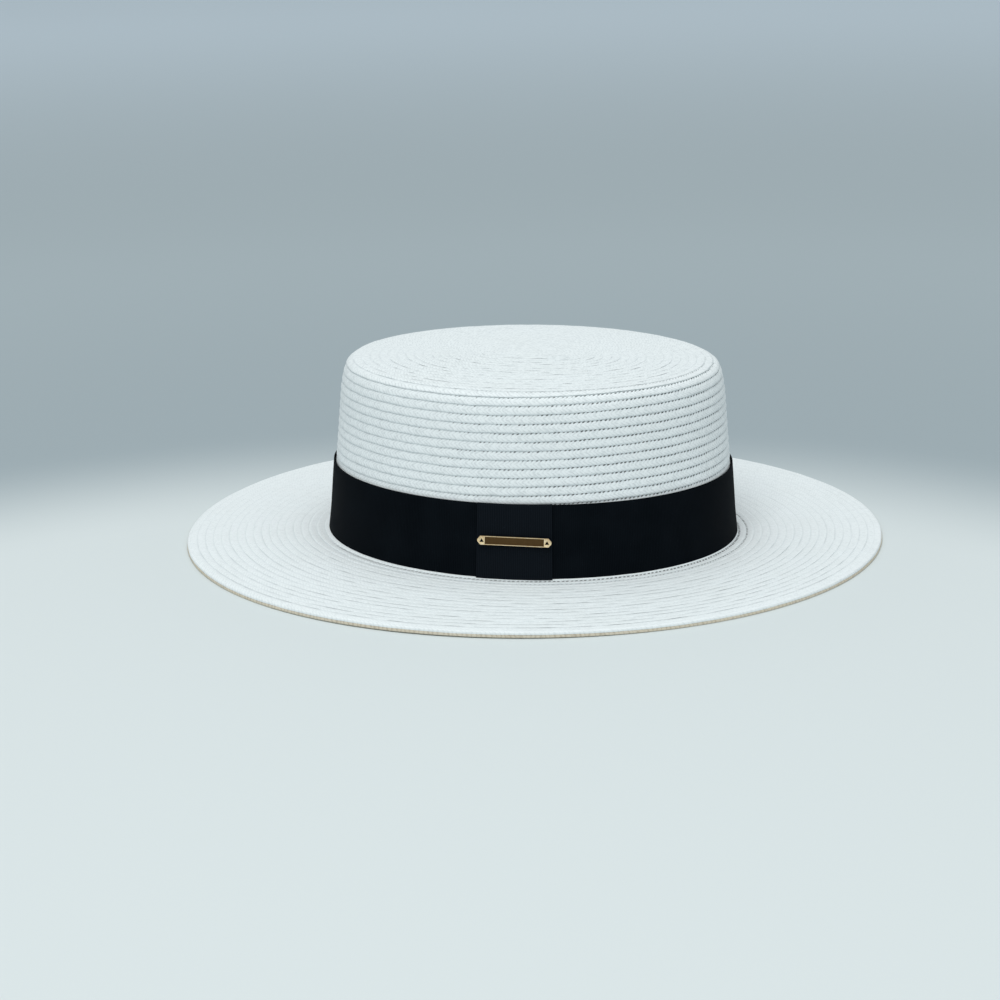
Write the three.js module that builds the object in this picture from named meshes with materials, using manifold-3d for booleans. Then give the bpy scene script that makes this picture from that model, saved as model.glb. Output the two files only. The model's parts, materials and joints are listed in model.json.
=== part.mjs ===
// A stiff straw boater: an oval crown and a flat brim of sewn braid, a second row of braid under the
// rim, a ribbon band, the flat ribbon tab that covers the ends of the band, and a small gilt bar
// sewn to the tab. Millimetres, +Z up, origin on the resting plane under the middle of the hat.
// +X is the long way of the head oval and -Y is the trimmed side.

import * as THREE from 'three';
import { mergeVertices } from 'three/addons/utils/BufferGeometryUtils.js';
import Module from 'manifold-3d';

// ---- driving dimensions -------------------------------------------------------------------

const GAP = 0.3;                 // clearance between pieces that touch on the real hat
const SEGMENTS = 96;             // stations round each oval
const OVAL = 16.4;               // every ring of the hat is this much longer than wide, each way
const STRAW = 1.4;               // thickness of two overlapping rows of braid
const LEAN = 1.0;                // degrees that the crown leans towards +X over the resting plane

// Outer face of the crown from foot to middle of the tip: height above the resting plane and
// half width of the oval there (its half length is OVAL more).
const CROWN_OUTLINE = [
  { height: 2.6, halfWidth: 85.8 },
  { height: 7.5, halfWidth: 85.1 },
  { height: 15.0, halfWidth: 84.2 },
  { height: 38.5, halfWidth: 82.4 },
  { height: 75.5, halfWidth: 79.2 },
  { height: 83.5, halfWidth: 77.8 },
  { height: 88.0, halfWidth: 76.2 },
  { height: 90.1, halfWidth: 73.8 },
  { height: 90.8, halfWidth: 70.6 },
  { height: 91.3, halfWidth: 40.0 },
  { height: 91.3, halfWidth: 0 },
];

const BRIM_RIM = 158.1;          // half width of the oval at the rim
const BRIM_STEPS = 4;            // stations across the brim
const HEAD_LINE_HEIGHT = 3.3;    // top of the brim where it meets the crown

// The rim is not a true plane: gentle lobes round the oval, in millimetres along X and Y phases.
const RIM_WAVES = [
  { lobes: 1, cosine: -0.45, sine: 0.41 },
  { lobes: 2, cosine: -0.17, sine: -0.46 },
  { lobes: 3, cosine: 0.27, sine: 0.22 },
];
const SETTLED = 0.15;            // height of lobe that lies flat on the resting plane

const RIM_ROW = { width: 4.7, thickness: 1.1, proud: 0.8 };   // second row, under the edge
const RIBBON = { bottom: 3.9, top: 39.0, thickness: 0.8 };
const TAB = { middle: 2.3, width: 35.4, thickness: 0.8, lip: 0.6 };
const BAR = {
  middle: 2.6, height: 22.3,       // where its centre is, along X and above the resting plane
  length: 35.0, width: 4.5, thickness: 1.2,
  point: 1.4, tip: 1.0,            // length of the pointed end, and its blunt height
  frame: 0.6, recess: 0.35,        // the raised border and the depth of the bare field
  holeFromEnd: 2.5, hole: 1.4,     // one three-sided sewing hole at each end
  yaw: 1.05, tiltBack: 3.8, roll: -0.8,   // degrees
};

// ---- the oval and the sweep round it ------------------------------------------------------

const degrees = THREE.MathUtils.degToRad;
const section = (halfWidth, height) => new THREE.Vector2(halfWidth, height);

function placeOnOval(point, angle, lift) {
  const x = (point.x + OVAL) * Math.cos(angle);
  const y = point.x * Math.sin(angle);
  return [x, y, point.y + (lift ? lift(point, angle, x) : 0)];
}

// Carries a closed outline of (half width, height) points round the oval. With no ends given it
// goes the whole way round; with two angles it stops there and the ends are capped.
function sweepRound(outline, { from = 0, to = 2 * Math.PI, steps = SEGMENTS, lift } = {}) {
  const whole = to - from > 2 * Math.PI - 1e-9;
  const stations = whole ? steps : steps + 1;
  const positions = [];
  for (let s = 0; s < stations; s++) {
    const angle = from + (to - from) * s / steps;
    outline.forEach((point) => positions.push(...placeOnOval(point, angle, lift)));
  }
  const count = outline.length;
  const indices = [];
  for (let s = 0; s < steps; s++) {
    const here = s * count;
    const next = ((s + 1) % stations) * count;
    for (let i = 0; i < count; i++) {
      const j = (i + 1) % count;
      const onLongAxis = outline[i].x === 0 && outline[j].x === 0;
      if (onLongAxis) continue;
      indices.push(here + i, next + i, next + j, here + i, next + j, here + j);
    }
  }
  if (!whole) {
    const last = (stations - 1) * count;
    for (const [a, b, c] of THREE.ShapeUtils.triangulateShape(outline, [])) {
      indices.push(a, b, c, last + a, last + c, last + b);
    }
  }
  return closedGeometry(positions, indices);
}

// One closed surface with merged corners, without the slivers that close up on the long axis.
function closedGeometry(positions, indices) {
  const geometry = new THREE.BufferGeometry();
  geometry.setAttribute('position', new THREE.Float32BufferAttribute(positions, 3));
  geometry.setIndex(indices);
  const merged = mergeVertices(geometry, 1e-4);
  const kept = [];
  const all = merged.index.array;
  for (let i = 0; i < all.length; i += 3) {
    const [a, b, c] = [all[i], all[i + 1], all[i + 2]];
    if (a !== b && b !== c && c !== a) kept.push(a, b, c);
  }
  merged.setIndex(kept);
  merged.computeVertexNormals();
  return merged;
}

function widthAt(height) {
  const above = CROWN_OUTLINE.findIndex((row) => row.height >= height);
  const high = CROWN_OUTLINE[above];
  const low = CROWN_OUTLINE[above - 1];
  const share = (height - low.height) / (high.height - low.height);
  return THREE.MathUtils.lerp(low.halfWidth, high.halfWidth, share);
}

// The stretch of the crown's outer face between two heights, moved outwards by a distance.
function wallStretch(bottom, top, outwards) {
  const between = CROWN_OUTLINE.filter((row) => row.height > bottom && row.height < top);
  const heights = [bottom, ...between.map((row) => row.height), top];
  return heights.map((height) => section(widthAt(height) + outwards, height));
}

// ---- straw --------------------------------------------------------------------------------

function crownGeometry() {
  const outer = CROWN_OUTLINE.map((row) => section(row.halfWidth, row.height));
  const inner = outer.map((point, i) => {
    const before = outer[Math.max(i - 1, 0)];
    const after = outer[Math.min(i + 1, outer.length - 1)];
    const along = after.clone().sub(before).normalize();
    const foot = i === 0;
    const middle = i === outer.length - 1;
    if (middle) return section(0, point.y - STRAW);
    return section(point.x - STRAW * along.y, foot ? point.y : point.y + STRAW * along.x);
  });
  return sweepRound([...outer, ...inner.reverse()]);
}

function rimWave(angle) {
  return RIM_WAVES.reduce((sum, { lobes, cosine, sine }) =>
    sum + cosine * Math.cos(lobes * angle) + sine * Math.sin(lobes * angle), 0);
}

const LOWEST_WAVE = Math.min(...Array.from({ length: SEGMENTS }, (_, i) =>
  rimWave(2 * Math.PI * i / SEGMENTS)));
const rimLift = (angle) => Math.max(0, rimWave(angle) - LOWEST_WAVE - SETTLED);

const BRIM_START = CROWN_OUTLINE[0].halfWidth + GAP + 0.1;
const RIM_TOP = RIM_ROW.thickness + GAP + STRAW;

// The brim follows the leaning foot of the crown at the head line and its own waves at the rim.
function brimLift(point, angle, x) {
  const share = (point.x - BRIM_START) / (BRIM_RIM - BRIM_START);
  const eased = THREE.MathUtils.smoothstep(share, 0, 1);
  const atHead = HEAD_LINE_HEIGHT - x * Math.tan(degrees(LEAN));
  return THREE.MathUtils.lerp(atHead, RIM_TOP + rimLift(angle), eased);
}

function brimGeometry() {
  const stations = Array.from({ length: BRIM_STEPS + 1 }, (_, i) =>
    THREE.MathUtils.lerp(BRIM_START, BRIM_RIM, i / BRIM_STEPS));
  const underside = stations.map((halfWidth) => section(halfWidth, -STRAW));
  const top = stations.map((halfWidth) => section(halfWidth, 0)).reverse();
  return sweepRound([...underside, ...top], { lift: brimLift });
}

function rimRowGeometry() {
  const outside = BRIM_RIM + RIM_ROW.proud;
  const inside = outside - RIM_ROW.width;
  const outline = [
    section(inside, 0),
    section(outside, 0),
    section(outside, RIM_ROW.thickness),
    section(inside, RIM_ROW.thickness),
  ];
  return sweepRound(outline, { lift: (point, angle) => rimLift(angle) });
}

// ---- trimming -----------------------------------------------------------------------------

function bandGeometry() {
  const inner = wallStretch(RIBBON.bottom, RIBBON.top, GAP);
  const outer = wallStretch(RIBBON.bottom, RIBBON.top, GAP + RIBBON.thickness);
  return sweepRound([...outer, ...inner.reverse()]);
}

// A flat ribbon folded over the top edge of the band, with its outer layer over the band's face.
function tabGeometry() {
  const face = GAP + RIBBON.thickness + GAP;
  const top = RIBBON.top + GAP + TAB.lip;
  const outer = wallStretch(RIBBON.bottom, top, face + TAB.thickness);
  const under = wallStretch(RIBBON.bottom, RIBBON.top + GAP, face).reverse();
  const lip = [
    section(widthAt(top) + GAP, RIBBON.top + GAP),
    section(widthAt(top) + GAP, top),
  ].reverse();
  const halfLength = widthAt(BAR.height) + OVAL + face;
  const angleAt = (x) => -Math.acos(x / halfLength);
  const outline = [...outer, ...lip, ...under];
  return sweepRound(outline, {
    from: angleAt(TAB.middle - TAB.width / 2),
    to: angleAt(TAB.middle + TAB.width / 2),
    steps: 8,
  });
}

function pointedOutline(inset) {
  const half = BAR.length / 2 - inset;
  const high = BAR.width / 2 - inset;
  const shoulder = BAR.length / 2 - BAR.point - inset * 0.4;
  const blunt = BAR.tip / 2;
  return [
    [-shoulder, -high], [shoulder, -high], [half, -blunt], [half, blunt],
    [shoulder, high], [-shoulder, high], [-half, blunt], [-half, -blunt],
  ].map(([x, y]) => new THREE.Vector2(x, y));
}

function holeOutline(x) {
  const corners = [90, 210, 330].map((turn) => degrees(turn));
  const reach = BAR.hole / Math.sqrt(3);
  return corners.map((turn) =>
    new THREE.Vector2(x + reach * Math.cos(turn), reach * Math.sin(turn)));
}

function extruded(outline, bottom, top) {
  const options = { depth: top - bottom, bevelEnabled: false };
  const geometry = new THREE.ExtrudeGeometry(new THREE.Shape(outline), options);
  geometry.translate(0, 0, bottom);
  geometry.deleteAttribute('normal');
  geometry.deleteAttribute('uv');
  return mergeVertices(geometry, 1e-4);
}

const wasm = await Module();
wasm.setup();

function solid(geometry) {
  const vertProperties = new Float32Array(geometry.attributes.position.array);
  const triVerts = new Uint32Array(geometry.index.array);
  return new wasm.Manifold(new wasm.Mesh({ numProp: 3, vertProperties, triVerts }));
}

function geometryOf(manifold) {
  const mesh = manifold.getMesh();
  return closedGeometry(Array.from(mesh.vertProperties), Array.from(mesh.triVerts));
}

// The gilt bar: a pointed plate with a raised border, a bare sunk field and two sewing holes.
function barGeometry() {
  const over = 1;
  const plate = solid(extruded(pointedOutline(0), 0, BAR.thickness));
  const half = BAR.length / 2 - BAR.holeFromEnd;
  const fieldEnd = half - BAR.hole;
  const fieldHigh = BAR.width / 2 - BAR.frame;
  const field = [
    [-fieldEnd, -fieldHigh], [fieldEnd, -fieldHigh], [fieldEnd, fieldHigh], [-fieldEnd, fieldHigh],
  ].map(([x, y]) => new THREE.Vector2(x, y));
  const sunk = solid(extruded(field, BAR.thickness - BAR.recess, BAR.thickness + over));
  const holes = [-half, half].map((x) =>
    solid(extruded(holeOutline(x), -over, BAR.thickness + over)));
  return geometryOf(holes.reduce((left, hole) => left.subtract(hole), plate.subtract(sunk)));
}

// ---- the hat ------------------------------------------------------------------------------

const finish = (color, roughness, metalness = 0) =>
  new THREE.MeshStandardMaterial({ color, roughness, metalness });
const straw = () => finish(0xdfe5e6, 0.6);
const edgeStraw = () => finish(0xcbbfa8, 0.7);
const ribbon = () => finish(0x0a0d14, 0.75);
const gilt = () => finish(0xc9a45c, 0.3, 1);

function piece(name, geometry, material) {
  const mesh = new THREE.Mesh(geometry, material);
  mesh.name = name;
  return mesh;
}

const crownAndTrim = new THREE.Group();
crownAndTrim.rotation.y = degrees(LEAN);
crownAndTrim.add(piece('crown', crownGeometry(), straw()));
crownAndTrim.add(piece('hat_band', bandGeometry(), ribbon()));
crownAndTrim.add(piece('band_tab', tabGeometry(), ribbon()));

const bar = piece('bar_plate', barGeometry(), gilt());
const tabFace = widthAt(BAR.height) + 2 * GAP + RIBBON.thickness + TAB.thickness;
bar.position.set(BAR.middle, -(tabFace + GAP + 0.1), BAR.height);
bar.rotation.order = 'ZXY';
bar.rotation.set(degrees(90 - BAR.tiltBack), 0, degrees(BAR.yaw));
bar.rotateZ(degrees(BAR.roll));
crownAndTrim.add(bar);

const hat = new THREE.Group();
hat.add(crownAndTrim);
hat.add(piece('brim', brimGeometry(), straw()));
hat.add(piece('rim_row', rimRowGeometry(), edgeStraw()));

export default hat;
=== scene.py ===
"""The looks of a stiff straw boater: sewn paper-straw braid, a grosgrain band and tab, a small gilt bar.

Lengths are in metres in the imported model's frame: +Z is up, +X is the long way of the head oval and
-Y is the trimmed side. The hat is made as the real one is. One long plaited tape is modelled as a
single short unit, repeated along its length, and then laid in a spiral over the crown and the brim,
each turn lapping over the next one outwards.

A plait's section runs from its tucked edge to its lapping edge. Angles go round the oval from +X
towards +Y, so the trimmed side is at -90 degrees and the back at +90.
"""

import json
import logging
import math
from contextlib import contextmanager
from dataclasses import dataclass, replace
from enum import Enum
from functools import cached_property
from typing import Callable, Iterator, Sequence

import bmesh
import bpy
import numpy as np
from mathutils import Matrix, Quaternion, Vector

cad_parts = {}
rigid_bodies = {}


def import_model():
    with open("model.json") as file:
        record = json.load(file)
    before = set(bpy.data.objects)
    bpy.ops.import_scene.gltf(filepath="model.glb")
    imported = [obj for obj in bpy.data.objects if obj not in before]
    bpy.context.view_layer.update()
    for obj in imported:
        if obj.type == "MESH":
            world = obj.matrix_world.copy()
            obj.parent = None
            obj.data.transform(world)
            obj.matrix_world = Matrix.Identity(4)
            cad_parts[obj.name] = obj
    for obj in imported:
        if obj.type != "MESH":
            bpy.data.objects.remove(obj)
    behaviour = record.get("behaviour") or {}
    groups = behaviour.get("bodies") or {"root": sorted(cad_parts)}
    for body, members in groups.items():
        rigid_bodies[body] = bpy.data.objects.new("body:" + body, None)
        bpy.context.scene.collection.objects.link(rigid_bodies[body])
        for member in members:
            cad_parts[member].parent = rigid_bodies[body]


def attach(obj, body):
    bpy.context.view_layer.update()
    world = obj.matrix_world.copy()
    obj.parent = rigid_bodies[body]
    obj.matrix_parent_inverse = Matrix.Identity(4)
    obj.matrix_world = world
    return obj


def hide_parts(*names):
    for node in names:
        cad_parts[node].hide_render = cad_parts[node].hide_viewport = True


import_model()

LOG = logging.getLogger("straw_boater")
MM = 0.001
TAU = 2.0 * math.pi
BACK = 0.5 * math.pi
BEHIND = 0.75 * TAU
STRAW_CREASE_DEG = 50.0
OVAL = 16.4 * MM
LEAN = math.radians(1.0)
ROW_PITCH = 4.25 * MM

Array = np.ndarray
Colour = tuple[float, float, float, float]


class Slot(Enum):
    """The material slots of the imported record."""

    STRAW = "straw"
    EDGE_STRAW = "edge_straw"
    RIBBON = "ribbon"
    GILT = "gilt"


class Turn(Enum):
    """Which way round the oval, seen from above, a spiral runs as it grows."""

    CLOCKWISE = -1
    COUNTER_CLOCKWISE = 1


# ---- hand tools ---------------------------------------------------------------------------


def deselect_all() -> None:
    """Leaves nothing selected and no object active."""
    for thing in bpy.context.view_layer.objects:
        thing.select_set(False)
    bpy.context.view_layer.objects.active = None


def take_up(thing: bpy.types.Object) -> None:
    """Makes one object the only selected one, and active.

    Args:
        thing: The object to work on.
    """
    deselect_all()
    thing.select_set(True)
    bpy.context.view_layer.objects.active = thing


def newly_added(name: str) -> bpy.types.Object:
    """Names the primitive that was just added, which is still the active object.

    Args:
        name: The name for the object and its mesh.

    Returns:
        The object.
    """
    thing = bpy.context.active_object
    thing.name = name
    thing.data.name = name
    return thing


@contextmanager
def edit_mode(thing: bpy.types.Object) -> Iterator[None]:
    """Works on one object in edit mode, with nothing selected in it at the start.

    Args:
        thing: The mesh object to edit.

    Yields:
        Nothing; leaving the block goes back to object mode.
    """
    take_up(thing)
    bpy.ops.object.mode_set(mode="EDIT")
    bpy.ops.mesh.select_all(action="DESELECT")
    try:
        yield
    finally:
        bpy.ops.object.mode_set(mode="OBJECT")


def select_points(thing: bpy.types.Object, wanted: Callable[[Vector], bool]) -> None:
    """Selects the vertices of an object in edit mode by their place, and nothing else.

    Args:
        thing: The mesh object, in edit mode.
        wanted: Says for a vertex's place whether it is selected.
    """
    bpy.ops.mesh.select_mode(type="VERT")
    bpy.ops.mesh.select_all(action="DESELECT")
    shape = bmesh.from_edit_mesh(thing.data)
    for vertex in shape.verts:
        if wanted(vertex.co):
            vertex.select_set(True)
    shape.select_flush_mode()
    bmesh.update_edit_mesh(thing.data)


def select_faces(thing: bpy.types.Object, wanted: Callable[[Vector, Vector], bool]) -> None:
    """Selects the faces of an object in edit mode by their place and normal, and nothing else.

    Args:
        thing: The mesh object, in edit mode.
        wanted: Says for a face's middle and normal whether it is selected.
    """
    bpy.ops.mesh.select_mode(type="FACE")
    bpy.ops.mesh.select_all(action="DESELECT")
    shape = bmesh.from_edit_mesh(thing.data)
    for face in shape.faces:
        if wanted(face.calc_center_median(), face.normal):
            face.select_set(True)
    bmesh.update_edit_mesh(thing.data)


def shift_selected(x: float = 0.0, y: float = 0.0, z: float = 0.0) -> None:
    """Moves what is selected in edit mode.

    Args:
        x: Distance along X.
        y: Distance along Y.
        z: Distance along Z.
    """
    bpy.ops.transform.translate(value=(x, y, z))


def apply_modifiers(thing: bpy.types.Object) -> None:
    """Applies every modifier of an object, from the first to the last.

    Args:
        thing: The object whose modifiers are applied.
    """
    take_up(thing)
    for modifier in list(thing.modifiers):
        bpy.ops.object.modifier_apply(modifier=modifier.name)


def joined(things: Sequence[bpy.types.Object]) -> bpy.types.Object:
    """Joins several mesh objects into the first of them.

    Args:
        things: The objects to join.

    Returns:
        The first object, which now holds all the meshes.
    """
    deselect_all()
    for thing in things:
        thing.select_set(True)
    bpy.context.view_layer.objects.active = things[0]
    if len(things) > 1:
        bpy.ops.object.join()
    return things[0]


def read_points(thing: bpy.types.Object) -> Array:
    """Reads an object's vertices.

    Args:
        thing: A mesh object.

    Returns:
        An array of one row of x, y and z for each vertex.
    """
    flat = np.zeros(len(thing.data.vertices) * 3, np.float32)
    thing.data.vertices.foreach_get("co", flat)
    return flat.reshape(-1, 3).astype(float)


def write_points(thing: bpy.types.Object, points: Array) -> None:
    """Moves an object's vertices to new places.

    Args:
        thing: A mesh object.
        points: One row of x, y and z for each vertex.
    """
    thing.data.vertices.foreach_set("co", points.astype(np.float32).ravel())
    thing.data.update()


def keep_as_cut(thing: bpy.types.Object, cut: Array) -> None:
    """Stores where each vertex lay in the flat piece, in millimetres, for the finish to read.

    Args:
        thing: A mesh object.
        cut: For each vertex its place along and across the flat piece, and how open a pin hole is there.
    """
    layer = thing.data.attributes.new("cut", "FLOAT_VECTOR", "POINT")
    layer.data.foreach_set("vector", cut.astype(np.float32).ravel())


def smooth_with_creases(thing: bpy.types.Object, crease_deg: float) -> None:
    """Shades an object smooth, apart from edges sharper than an angle.

    Args:
        thing: A mesh object.
        crease_deg: The angle between faces, in degrees, past which an edge stays sharp.
    """
    take_up(thing)
    bpy.ops.object.shade_smooth_by_angle(angle=math.radians(crease_deg))


def lengths_along(course: Array) -> Array:
    """Measures a line of points.

    Args:
        course: The points, in order.

    Returns:
        For each point the length of the line up to it.
    """
    return np.concatenate([[0.0], np.cumsum(np.linalg.norm(np.diff(course, axis=0), axis=1))])


def ease(share: Array | float) -> Array:
    """Goes smoothly from 0 to 1 as a share does, and stays there outside.

    Args:
        share: A number or an array, where 0 is the start and 1 the end.

    Returns:
        The eased share.
    """
    held = np.clip(share, 0.0, 1.0)
    return held * held * (3.0 - 2.0 * held)


@dataclass(frozen=True)
class HandWander:
    """A slow, small and repeatable unevenness along a length, as sewing by hand and eye gives."""

    seed: int
    reach: float
    longest: float
    shortest: float
    terms: int = 9

    def at(self, along: Array) -> Array:
        """Gives the unevenness at places along the length.

        Args:
            along: Places along the length, in metres.

        Returns:
            How far off each place is, in metres, mostly within the reach.
        """
        draw = np.random.default_rng(self.seed)
        lengths = np.geomspace(self.longest, self.shortest, self.terms)
        total = np.zeros_like(along)
        for length in lengths:
            phase = draw.uniform(0.0, TAU)
            weight = draw.uniform(0.5, 1.0)
            total += weight * np.sin(TAU * along / length + phase)
        return self.reach * total / math.sqrt(self.terms)


# ---- shader tools -------------------------------------------------------------------------


def operator(operation: str, reflected: bool = False) -> Callable[["Value", "Value | float"], "Value"]:
    """Makes one of the operators of a Value.

    Args:
        operation: The Math node's operation.
        reflected: Whether the plain number stands first, as in 1 - mask.

    Returns:
        The operator's method.
    """

    def method(value: "Value", other: "Value | float") -> "Value":
        """Adds the Math node."""
        first, second = (other, value) if reflected else (value, other)
        return value.desk.calculate(operation, first, second)

    return method


class Value:
    """A number in a material that can be used in a Python expression."""

    def __init__(self, desk: "Desk", socket: bpy.types.NodeSocket) -> None:
        """Wraps an output socket of a desk's node tree."""
        self.desk = desk
        self.socket = socket

    __add__ = operator("ADD")
    __radd__ = operator("ADD", reflected=True)
    __sub__ = operator("SUBTRACT")
    __rsub__ = operator("SUBTRACT", reflected=True)
    __mul__ = operator("MULTIPLY")
    __rmul__ = operator("MULTIPLY", reflected=True)
    __truediv__ = operator("DIVIDE")
    __rtruediv__ = operator("DIVIDE", reflected=True)

    def sine(self) -> "Value":
        """Gives the sine."""
        return self.desk.calculate("SINE", self)

    def size(self) -> "Value":
        """Gives the absolute value."""
        return self.desk.calculate("ABSOLUTE", self)

    def between(self, start: float, end: float) -> "Value":
        """Goes smoothly from 0 at start to 1 at end."""
        node = self.desk.node(
            "ShaderNodeMapRange",
            {"interpolation_type": "SMOOTHSTEP"},
            {"Value": self, "From Min": start, "From Max": end},
        )
        return Value(self.desk, node.outputs["Result"])


class Desk:
    """One material's node tree, with the few ways in which nodes are added to it."""

    def __init__(self, name: str) -> None:
        """Makes an empty material of that name."""
        self.material = bpy.data.materials.new(name)
        self.material.use_nodes = True
        self.tree = self.material.node_tree
        self.tree.nodes.clear()

    def node(self, kind: str, settings: dict, sockets: dict) -> bpy.types.Node:
        """Adds a node.

        Args:
            kind: The node's type.
            settings: Its properties, which are set first; "stops" holds a ramp's positions and colours.
            sockets: For each input, by name or number, a plain value, a Value or an output socket.

        Returns:
            The node.
        """
        made = self.tree.nodes.new(kind)
        for name, setting in settings.items():
            if name == "stops":
                self._set_stops(made, setting)
            else:
                setattr(made, name, setting)
        for key, given in sockets.items():
            if isinstance(given, Value):
                self.tree.links.new(given.socket, made.inputs[key])
            elif isinstance(given, bpy.types.NodeSocket):
                self.tree.links.new(given, made.inputs[key])
            else:
                made.inputs[key].default_value = given
        return made

    def _set_stops(self, ramp_node: bpy.types.Node, stops: Sequence[tuple[float, Colour]]) -> None:
        """Sets a colour ramp's stops.

        Args:
            ramp_node: A colour ramp node.
            stops: Positions from 0 to 1 with their colours.
        """
        elements = ramp_node.color_ramp.elements
        while len(elements) < len(stops):
            elements.new(1.0)
        for element, (position, colour) in zip(elements, stops):
            element.position = position
            element.color = colour

    def calculate(self, operation: str, *numbers: Value | float) -> Value:
        """Adds a Math node.

        Args:
            operation: The Math node's operation.
            numbers: Its inputs, in order.

        Returns:
            The result.
        """
        made = self.node("ShaderNodeMath", {"operation": operation}, dict(enumerate(numbers)))
        return Value(self, made.outputs[0])

    def blend(self, share: Value | float, first: object, second: object) -> bpy.types.NodeSocket:
        """Mixes two colours.

        Args:
            share: How much of the second there is, from 0 to 1.
            first: The first colour, or a colour socket.
            second: The second colour, or a colour socket.

        Returns:
            The mixed colour's socket.
        """
        made = self.node("ShaderNodeMix", {"data_type": "RGBA"}, {0: share, 6: first, 7: second})
        return made.outputs[2]

    def cut_place(self) -> tuple[Value, Value, Value]:
        """Reads where a point lay in the flat piece.

        Returns:
            The places along and across the flat piece, in millimetres, and how open a pin hole is.
        """
        layer = self.node("ShaderNodeAttribute", {"attribute_name": "cut"}, {})
        parts = self.node("ShaderNodeSeparateXYZ", {}, {0: layer.outputs["Vector"]})
        return tuple(Value(self, parts.outputs[i]) for i in range(3))

    def noise(self, scale: float, detail: float = 2.0) -> Value:
        """Adds noise on object coordinates.

        Args:
            scale: Its scale, in lumps a metre.
            detail: Its detail.

        Returns:
            The noise, from 0 to 1.
        """
        place = self.node("ShaderNodeTexCoord", {}, {})
        made = self.node(
            "ShaderNodeTexNoise",
            {},
            {"Vector": place.outputs["Object"], "Scale": scale, "Detail": detail},
        )
        return Value(self, made.outputs["Fac"])

    def bump(self, height: Value, distance: float) -> bpy.types.NodeSocket:
        """Turns a height into a bumped normal.

        Args:
            height: The height, from 0 to 1.
            distance: How far 1 stands out, in metres.

        Returns:
            The normal's socket.
        """
        made = self.node("ShaderNodeBump", {}, {"Height": height, "Distance": distance, "Strength": 1.0})
        return made.outputs["Normal"]

    def finish(self, sockets: dict) -> bpy.types.Material:
        """Closes the tree with a Principled shader.

        Args:
            sockets: The shader's inputs.

        Returns:
            The material.
        """
        shader = self.node("ShaderNodeBsdfPrincipled", {}, sockets)
        self.node("ShaderNodeOutputMaterial", {}, {"Surface": shader.outputs[0]})
        return self.material


# ---- finishes -----------------------------------------------------------------------------


@dataclass(frozen=True)
class BraidFinish:
    """Plaited strands of bleached paper straw, with painted shade in the pin holes where the plait stands
    open.

    The strand, the cord and the middle are in millimetres on the flat tape; noise scales are in lumps
    a metre. Painted shade darkens a part of the tape's width from the tucked edge, where the turn before
    laps over it.
    """

    name: str
    face: Colour = (0.800, 0.858, 0.872, 1.0)
    # Painted shade between crossing strands, with random flecks of tone.
    gap_shade_and_fleck: Colour = (0.640, 0.695, 0.712, 1.0)
    # Painted shade along the tucked edge, under the turn before.
    tucked_edge_shade: Colour = (0.560, 0.610, 0.628, 1.0)
    aged: Colour = (0.70, 0.74, 0.72, 1.0)
    # Painted shade inside the open pin holes.
    hole: Colour = (0.085, 0.090, 0.096, 1.0)
    tucked_edge_shade_share: float = 0.16
    strand: float = 1.075
    slant: float = 0.80
    cord: float = 1.05
    middle: float = 2.1
    tucked_edge_shade_width: float = 1.0
    lapping_edge: tuple[float, float] = (4.25, 3.85)
    drift_scale: float = 300.0
    drift_reach: float = 2.2
    paper_scale: float = 1300.0
    fleck_scale: float = 520.0
    patch_scale: float = 38.0
    patch_share: float = 0.10
    roughness: float = 0.66
    shine: float = 0.16
    relief: float = 0.13 * MM
    open_from: float = 0.24
    open_to: float = 0.60

    def make(self) -> bpy.types.Material:
        """Builds the material.

        Returns:
            The material.
        """
        desk = Desk(self.name)
        along, across, open_share = desk.cut_place()
        # Strands run in a herringbone about the tape's middle; crossings lean and drift further.
        drift = desk.noise(self.drift_scale) * self.drift_reach
        lean = (across - self.middle).size() * self.slant
        strands = ((along + lean + drift) * (math.pi / self.strand)).sine().size()
        crossings = ((along + lean * 1.6 + drift * 1.3) * (math.pi / (2.0 * self.strand))).sine().size()
        cords = ((across + drift * 0.4) * (math.pi / self.cord)).sine().size()
        paper = desk.noise(self.paper_scale, 3.0)
        flecks = desk.noise(self.fleck_scale)
        patches = desk.noise(self.patch_scale)
        plait = strands * 0.45 + cords * 0.20 + paper * 0.50
        # Painted shade where strands cross, mixed with random flecks of tone.
        gap_shade_and_fleck_mask = crossings * 0.40 + flecks * 0.95 + plait * 0.15
        gap_shaded_and_flecked = desk.blend(gap_shade_and_fleck_mask.between(0.48, 1.00), self.gap_shade_and_fleck, self.face)
        # Painted shade over a part of the width from the tucked edge, under the turn before.
        sewn = desk.blend(across.between(self.tucked_edge_shade_width, 0.1) * self.tucked_edge_shade_share, gap_shaded_and_flecked, self.tucked_edge_shade)
        worn = desk.blend(patches.between(0.35, 0.75) * self.patch_share, sewn, self.aged)
        # Painted shade: the open pin holes are coloured dark for the shade inside them.
        colour = desk.blend(open_share.between(self.open_from, self.open_to), worn, self.hole)
        return desk.finish(
            {
                "Base Color": colour,
                "Roughness": paper.between(0.35, 0.75) * -self.shine + self.roughness,
                "Normal": desk.bump(plait * across.between(*self.lapping_edge), self.relief),
                "IOR": 1.45,
            }
        )


STRAW = BraidFinish("bleached_paper_braid")
FLAT_STRAW = BraidFinish(
    "bleached_paper_braid_flat",
    face=(0.805, 0.860, 0.875, 1.0),
    # Painted shade between crossing strands, with random flecks of tone.
    gap_shade_and_fleck=(0.715, 0.770, 0.785, 1.0),
    # Painted shade along the tucked edge, stronger on the flat braid.
    tucked_edge_shade_share=0.34,
    relief=0.08 * MM,
    open_from=0.10,
    open_to=0.42,
    # Painted shade inside the open pin holes.
    hole=(0.05, 0.053, 0.057, 1.0),
)
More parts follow.
